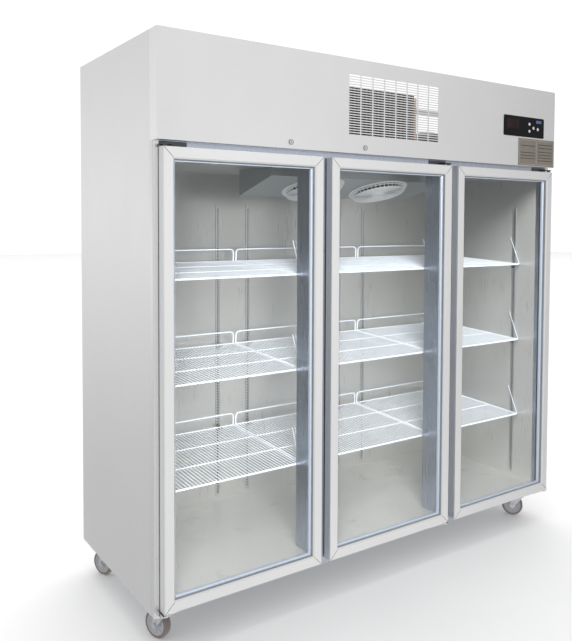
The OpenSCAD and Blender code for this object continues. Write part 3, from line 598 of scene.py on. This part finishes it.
# ---------------------------------------------------------------- door glazing and details
for side in DOORS:
    body = f"door_{side}"
    low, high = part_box(f"door_{side}_frame")
    glow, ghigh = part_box(f"door_{side}_glass")
    for label, y0 in (("outer", glow[1]), ("inner", ghigh[1] - PANE)):
        bm = bmesh.new()
        slab(bm, (glow[0], y0, glow[2]), (ghigh[0], y0 + PANE, ghigh[2]), 0.6 * MM)
        piece = new_piece(f"door_{side}_{label}_pane", bm, M["door_glass"], body)
        if label == "outer":
            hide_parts(f"door_{side}_glass")
    # Spacer bar with its rounded inner wall, and the seal between it and the panes' edges
    inset = STILE - (glow[0] - low[0])
    y_front, y_back = glow[1] + PANE + 0.2 * MM, ghigh[1] - PANE - 0.2 * MM
    bm = bmesh.new()
    wide = inset + 7 * MM
    frame_strip(bm, glow[0] + 1 * MM, ghigh[0] - 1 * MM, glow[2] + 1 * MM, ghigh[2] - 1 * MM,
                [(5 * MM, y_front), (wide - 1.2 * MM, y_front), (wide, y_front + 1.2 * MM),
                 (wide, y_back - 1.2 * MM), (wide - 1.2 * MM, y_back), (5 * MM, y_back)])
    INSIDE.append(new_piece(f"door_{side}_spacer", bm, SPACER, body, 30))
    bm = bmesh.new()
    frame_strip(bm, glow[0], ghigh[0], glow[2], ghigh[2],
                [(0.5 * MM, y_front), (5.8 * MM, y_front), (5.8 * MM, y_back), (0.5 * MM, y_back)])
    INSIDE.append(new_piece(f"door_{side}_edge_seal", bm, EDGE_SEAL, body, 30))
    # Glazing beads over the panes' edges, in front and behind
    x0, x1, z0, z1 = low[0] + STILE, high[0] - STILE, low[2] + STILE, high[2] - STILE
    bm = bmesh.new()
    proud = BEAD_PROUD
    yf = glow[1]
    frame_strip(bm, x0 - 0.3 * MM, x1 + 0.3 * MM, z0 - 0.3 * MM, z1 + 0.3 * MM,
                [(0, yf - 5 * MM), (proud * 0.6, yf - 4.2 * MM), (proud, yf - 2 * MM),
                 (proud, yf - 0.1 * MM), (0, yf - 0.1 * MM)])
    yb = ghigh[1]
    frame_strip(bm, x0 - 0.3 * MM, x1 + 0.3 * MM, z0 - 0.3 * MM, z1 + 0.3 * MM,
                [(0, yb + 0.1 * MM), (proud, yb + 0.1 * MM), (proud, yb + 1.6 * MM),
                 (proud * 0.6, yb + 3 * MM), (0, yb + 3.6 * MM)])
    new_piece(f"door_{side}_beads", bm, BEAD, body, 40)
    # Dark lines of the mitred corners on the front face
    bm = bmesh.new()
    y = low[1] - 0.12 * MM
    half = 0.7 * MM
    for cx, cz, sx, sz in ((low[0], low[2], 1, 1), (high[0], low[2], -1, 1),
                           (low[0], high[2], 1, -1), (high[0], high[2], -1, -1)):
        a, b = 2.5 * MM, STILE - 5 * MM
        ends = []
        for d in (a, b):
            p = Vector((cx + sx * d, y, cz + sz * d))
            across = Vector((-sx, 0, sz)).normalized() * half
            ends += [p - across, p + across]
        deep = Vector((0, 0.3 * MM, 0))
        verts = ends + [e + deep for e in ends]
        add_mesh(bm, verts, [(0, 1, 3, 2), (4, 6, 7, 5), (0, 4, 5, 1), (2, 3, 7, 6),
                             (0, 2, 6, 4), (1, 5, 7, 3)])
    new_piece(f"door_{side}_mitre_lines", bm, DARK_JOINT_AND_SHADE, body)

# ---------------------------------------------------------------- caster wheels
for name in CASTERS:
    roll = joint(f"wheel_{name}_roll")
    m = Matrix.Translation(roll["pos_m"]) @ facing(roll["axis"])
    r, w = WHEEL_R, WHEEL_HALF
    bm = bmesh.new()
    tread = [(r - 11 * MM, -w + 2 * MM), (r - 6 * MM, -w + 0.6 * MM), (r - 3 * MM, -w + 1.6 * MM),
             (r - 1 * MM, -w + 4 * MM), (r, -w + 8 * MM), (r, w - 8 * MM), (r - 1 * MM, w - 4 * MM),
             (r - 3 * MM, w - 1.6 * MM), (r - 6 * MM, w - 0.6 * MM), (r - 11 * MM, w - 2 * MM)]
    lathe(bm, tread, 96, m)
    tyre = new_piece(f"wheel_{name}_tread", bm, M["wheel_rubber"], f"wheel_{name}",
                     40)
    bm = bmesh.new()
    half_profile = [(5.1 * MM, w), (12 * MM, w), (14 * MM, w - 1.4 * MM), (15 * MM, w - 4.6 * MM),
                    (23 * MM, w - 5.4 * MM), (24 * MM, w - 4.4 * MM), (26 * MM, w - 4.4 * MM),
                    (27 * MM, w - 5.4 * MM), (32 * MM, w - 5.2 * MM), (34 * MM, w - 2.2 * MM),
                    (36 * MM, w - 1 * MM), (38.5 * MM, w - 1.4 * MM), (39 * MM, w - 2.4 * MM)]
    profile = half_profile + [(a, -h) for a, h in reversed(half_profile)]
    lathe(bm, profile, 96, m)
    for k in range(WHEEL_SPOKES):
        turn = m @ Matrix.Rotation(2 * math.pi * k / WHEEL_SPOKES, 4, "Z")
        for s in (-1, 1):
            ends = sorted((s * (w - 5.6 * MM), s * (w - 3.6 * MM)))
            slab(bm, (14 * MM, -1.2 * MM, ends[0]), (33 * MM, 1.2 * MM, ends[1]), 0.4 * MM, turn)
    new_piece(f"wheel_{name}_hub", bm, HUB, f"wheel_{name}", 30)
    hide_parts(f"caster_wheel_{name}")

# ---------------------------------------------------------------- controller
low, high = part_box("controller_bezel")
face = low[1]
wide = high[0] - low[0]
tall = high[2] - low[2]
bm = bmesh.new()
slab(bm, (low[0] + 0.06 * wide, face - 0.5 * MM, low[2] + 0.36 * tall),
     (low[0] + 0.36 * wide, face + 0.5 * MM, low[2] + 0.84 * tall), 0.4 * MM)
new_piece("display_glass", bm, DISPLAY, "cabinet")
bm = bmesh.new()
slab(bm, (low[0] + 0.80 * wide, face - 0.4 * MM, low[2] + 0.74 * tall),
     (low[0] + 0.93 * wide, face + 0.5 * MM, low[2] + 0.88 * tall), 0.3 * MM)
new_piece("status_patch", bm, INDICATOR, "cabinet")

# ---------------------------------------------------------------- blank data plate
low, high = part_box("header_panel")
plate_high = Vector((high[0] - 5 * MM, low[1] - 0.2 * MM, low[2] + 3 * MM + PLATE_HEIGHT))
plate_low = plate_high - Vector((PLATE_WIDTH, 1 * MM, PLATE_HEIGHT))
bm = bmesh.new()
slab(bm, plate_low, plate_high, 0.3 * MM)
new_piece("data_plate", bm, PLATE, "cabinet")
centre_x = (plate_low.x + plate_high.x) / 2
rim = 6 * MM
border_y, back_y = plate_low.y - 0.3 * MM, plate_low.y + 0.2 * MM
light_bm, dark_bm = bmesh.new(), bmesh.new()
for x0, x1, rules in ((plate_low.x + rim, centre_x - 2 * MM, (0.24, 0.52, 0.64, 0.76)),
                      (centre_x + 2 * MM, plate_high.x - rim, (0.16, 0.30, 0.46, 0.58, 0.70, 0.82))):
    z0, z1 = plate_low.z + rim, plate_high.z - rim
    frame_strip(light_bm, x0, x1, z0, z1,
                [(0, border_y), (1.2 * MM, border_y), (1.2 * MM, back_y), (0, back_y)])
    for share in rules:
        z = z1 - share * (z1 - z0)
        slab(dark_bm, (x0 + 8 * MM, plate_low.y - 0.25 * MM, z - 1.4 * MM),
             (x1 - 8 * MM, back_y, z + 1.4 * MM), 0.1 * MM)
new_piece("data_plate_borders", light_bm, M["galvanized_sheet"], "cabinet")
new_piece("data_plate_rules", dark_bm, DARK_JOINT_AND_SHADE, "cabinet")

# ---------------------------------------------------------------- locks
for side in ("left", "middle"):
    at = Vector(joint(f"lock_{side}_turn")["pos_m"])
    at.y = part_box(f"lock_{side}")[0][1]
    # A dark block inside the plug's keyway: painted shade of the slot's depth.
    bm = bmesh.new()
    slab(bm, at + Vector((-0.9 * MM, -0.25 * MM, -4.2 * MM)),
         at + Vector((0.9 * MM, 0.3 * MM, 4.2 * MM)), 0.2 * MM)
    new_piece(f"lock_{side}_keyway_shade", bm, DARK_JOINT_AND_SHADE, f"lock_{side}")
    # A dark ring on the housing round the lock: painted shadow.
    at.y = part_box("lock_housings")[0][1]
    m = Matrix.Translation(at) @ facing((0, -1, 0))
    bm = bmesh.new()
    lathe(bm, [(8.2 * MM, -0.2 * MM), (9.6 * MM, -0.2 * MM), (9.6 * MM, 0.3 * MM),
               (8.2 * MM, 0.3 * MM)], 64, m)
    new_piece(f"lock_{side}_shadow_ring", bm, DARK_JOINT_AND_SHADE, "cabinet")

# ---------------------------------------------------------------- corner trims and upright slots
bm = bmesh.new()
trim = 0.8 * MM
wrap = 24 * MM
edge_x, edge_y = CAD_HIGH[0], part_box("right_side_panel")[0][1]
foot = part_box("right_side_panel")[0][2] + 1 * MM
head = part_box("header_panel")[0][2] - 0.5 * MM
for s in (-1, 1):
    xs = sorted((s * edge_x, s * (edge_x + trim)))
    slab(bm, (xs[0], edge_y - trim, foot), (xs[1], edge_y + wrap, head), 0.35 * MM)
new_piece("corner_trims", bm, M["side_steel"], "cabinet", 30)

# Dark strips behind the uprights' slots: painted shade of the slots' depth.
bm = bmesh.new()
low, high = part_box("shelf_standards")
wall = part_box("inner_liner")[1]
sheet = 1 * MM
back_face = wall[1] - sheet
side_face = wall[0] - sheet
STANDARDS_BACK = (-0.432, -0.273, 0.273, 0.432)
STANDARDS_SIDE = (-0.205, 0.250)
half_slot = 3.9 * MM
near, far = 0.9 * MM, 0.15 * MM
z0, z1 = low[2] + 8 * MM, high[2] - 8 * MM
for x in STANDARDS_BACK:
    slab(bm, (x - half_slot, back_face - near, z0), (x + half_slot, back_face - far, z1))
for y in STANDARDS_SIDE:
    for s in (-1, 1):
        xs = sorted((s * (side_face - near), s * (side_face - far)))
        slab(bm, (xs[0], y - half_slot, z0), (xs[1], y + half_slot, z1))
new_piece("slot_shadows", bm, DARK_JOINT_AND_SHADE, "cabinet")

# ---------------------------------------------------------------- fixings
SCREW_R, SCREW_H = 4.5 * MM, 2.2 * MM
BOLT_R, BOLT_H = 7.5 * MM, 5 * MM
bm = bmesh.new()
low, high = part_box("back_panel")
back, bottom, top = high[1], low[2], high[2]
screws = [(x, z) for x in (-1.0, -0.5, 0.0, 0.5, 1.0) for z in (bottom + 0.03, top - 0.03)]
screws += [(x, bottom + k * (top - bottom) / 5) for x in (-1.0, 1.0) for k in range(1, 5)]
for x, z in screws:
    bolt_head(bm, (x, back, z), (0, 1, 0), SCREW_R, SCREW_H, False)
new_piece("back_screws", bm, M["caster_zinc"], "cabinet", 30)
bm = bmesh.new()
bolt_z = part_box("caster_plates")[1][2] - 4 * MM
for name in CASTERS:
    swivel = joint(f"caster_{name}_swivel")["pos_m"]
    for sx in (-1, 1):
        for sy in (-1, 1):
            at = (swivel[0] + sx * 36 * MM, swivel[1] + sy * 44 * MM, bolt_z)
            bolt_head(bm, at, (0, 0, -1), BOLT_R, BOLT_H)
new_piece("caster_bolts", bm, M["caster_zinc"], "cabinet", 25)

# ---------------------------------------------------------------- floor, light and camera
floor_mat, tree, bsdf = shader("pale_floor")
tree.links.new(blend_colors(tree, noise(tree, 0.8), (0.90, 0.90, 0.90), (0.93, 0.93, 0.93)),
               bsdf.inputs["Base Color"])
tree.links.new(ranged(tree, noise(tree, 3.0), 0.7, 0.85), bsdf.inputs["Roughness"])
bpy.ops.mesh.primitive_plane_add(size=60)
floor = bpy.context.object
floor.name = "floor"
floor.data.materials.append(floor_mat)
floor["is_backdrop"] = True
floor.visible_glossy = False
floor.visible_diffuse = False

world = bpy.data.worlds.new("studio")
bpy.context.scene.world = world
world.use_nodes = True
sky = world.node_tree


def graded(value, stops):
    """A grey that runs through (position, brightness) stops."""
    ramp = sky.nodes.new("ShaderNodeValToRGB")
    elements = ramp.color_ramp.elements
    while len(elements) < len(stops):
        elements.new(0.5)
    for element, (place, _) in zip(elements, stops):
        element.position = place
    for element, (_, grey) in zip(elements, stops):
        element.color = (grey, grey, grey, 1)
    sky.links.new(value, ramp.inputs["Fac"])
    return ramp.outputs["Color"]


def mixed(factor, a, b, kind="MIX"):
    """Blends two colours by a number or a node's output."""
    made = sky.nodes.new("ShaderNodeMix")
    made.data_type = "RGBA"
    made.blend_type = kind
    if isinstance(factor, float):
        made.inputs["Factor"].default_value = factor
    else:
        sky.links.new(factor, made.inputs["Factor"])
    sky.links.new(a, made.inputs["A"])
    sky.links.new(b, made.inputs["B"])
    return made.outputs["Result"]


def under_horizon(share):
    """1 at and above the horizon, share well below it."""
    return ranged(sky, split.outputs["Z"], share, 1.0, -0.3, 0.0)


def scaled(color, factor):
    """A colour times a node's output."""
    made = sky.nodes.new("ShaderNodeVectorMath")
    made.operation = "SCALE"
    sky.links.new(color, made.inputs[0])
    sky.links.new(factor, made.inputs["Scale"])
    return made.outputs["Vector"]


# A soft tent round the object. In front its tone goes with X and falls off overhead. Behind, it
# has one tone on the left and one on the right. Below the horizon it is dimmed.
direction = sky.nodes.new("ShaderNodeTexCoord").outputs["Generated"]
split = sky.nodes.new("ShaderNodeSeparateXYZ")
sky.links.new(direction, split.inputs["Vector"])
across_front = graded(split.outputs["X"], [(0.0, 0.74), (0.36, 0.92), (0.62, 0.98), (0.78, 0.53),
                                           (0.92, 0.33)])
overhead = graded(split.outputs["Z"], [(0.05, 1.0), (0.75, 0.72)])
front = mixed(1.0, across_front, overhead, "MULTIPLY")
rear_left = scaled(graded(split.outputs["Z"], [(0.03, 1.0), (0.3, 0.70)]), under_horizon(0.66))
rear_right = graded(split.outputs["Z"], [(0.3, 0.98), (0.9, 0.90)])
right_share = ranged(sky, split.outputs["X"], 0.0, 1.0, -0.15, 0.1)
rear = mixed(right_share, rear_left, rear_right)
rear_share = ranged(sky, split.outputs["Y"], 0.0, 1.0, -0.25, 0.05)
tent = mixed(rear_share, front, rear)
sky.links.new(scaled(tent, under_horizon(0.84)), sky.nodes["Background"].inputs["Color"])
sky.nodes["Background"].inputs["Strength"].default_value = 1.12


def area(name, at, target, size, power, lit=None):
    """A soft box. With lit, it lights only those objects."""
    light = bpy.data.lights.new(name, "AREA")
    light.shape = "RECTANGLE"
    light.size, light.size_y = size
    light.energy = power
    obj = bpy.data.objects.new(name, light)
    bpy.context.scene.collection.objects.link(obj)
    obj.location = at
    direction = Vector(target) - Vector(at)
    obj.rotation_euler = direction.to_track_quat("-Z", "Y").to_euler()
    if lit:
        receivers = bpy.data.collections.new(name + "_lit")
        for thing in lit:
            receivers.objects.link(thing)
        obj.light_linking.receiver_collection = receivers


area("top_soft", (0.0, 0.3, 4.6), (0.0, 0.0, 0.0), (4.0, 3.0), 30)
area("shelf_light", (-2.4, -3.9, 2.9), (0.1, 0.0, 1.0), (1.6, 1.6), 420, lit=INSIDE)
area("liner_light", (-1.7, -2.6, 3.7), (-0.4, 0.1, 0.4), (1.8, 1.8), 430, lit=[NODES["inner_liner"]])
area("floor_wash", (0.0, 0.0, 15.0), (0.0, 0.0, 0.0), (60.0, 60.0), 5200, lit=[floor])

# The camera, fitted to the straight edges of the photo
YAW, PITCH, ROLL = math.radians(34.485), math.radians(-2.219), math.radians(0.251)
forward = Vector((math.sin(YAW) * math.cos(PITCH), math.cos(YAW) * math.cos(PITCH), math.sin(PITCH)))
right = Vector((math.cos(YAW), -math.sin(YAW), 0))
up = right.cross(forward)
right, up = (right * math.cos(ROLL) + up * math.sin(ROLL),
             up * math.cos(ROLL) - right * math.sin(ROLL))
camera_data = bpy.data.cameras.new("camera")
camera = bpy.data.objects.new("camera", camera_data)
bpy.context.scene.collection.objects.link(camera)
camera.matrix_world = Matrix.Translation((-1.986, -2.5654, 1.4748)) @ Matrix(
    (right, up, -forward)).transposed().to_4x4()
camera_data.lens = 40.08
camera_data.sensor_width = 36
camera_data.shift_x = -0.0158
camera_data.shift_y = -0.1105
camera_data.clip_start = 0.05
bpy.context.scene.camera = camera
bpy.context.scene.view_settings.view_transform = "Standard"

low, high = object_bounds()
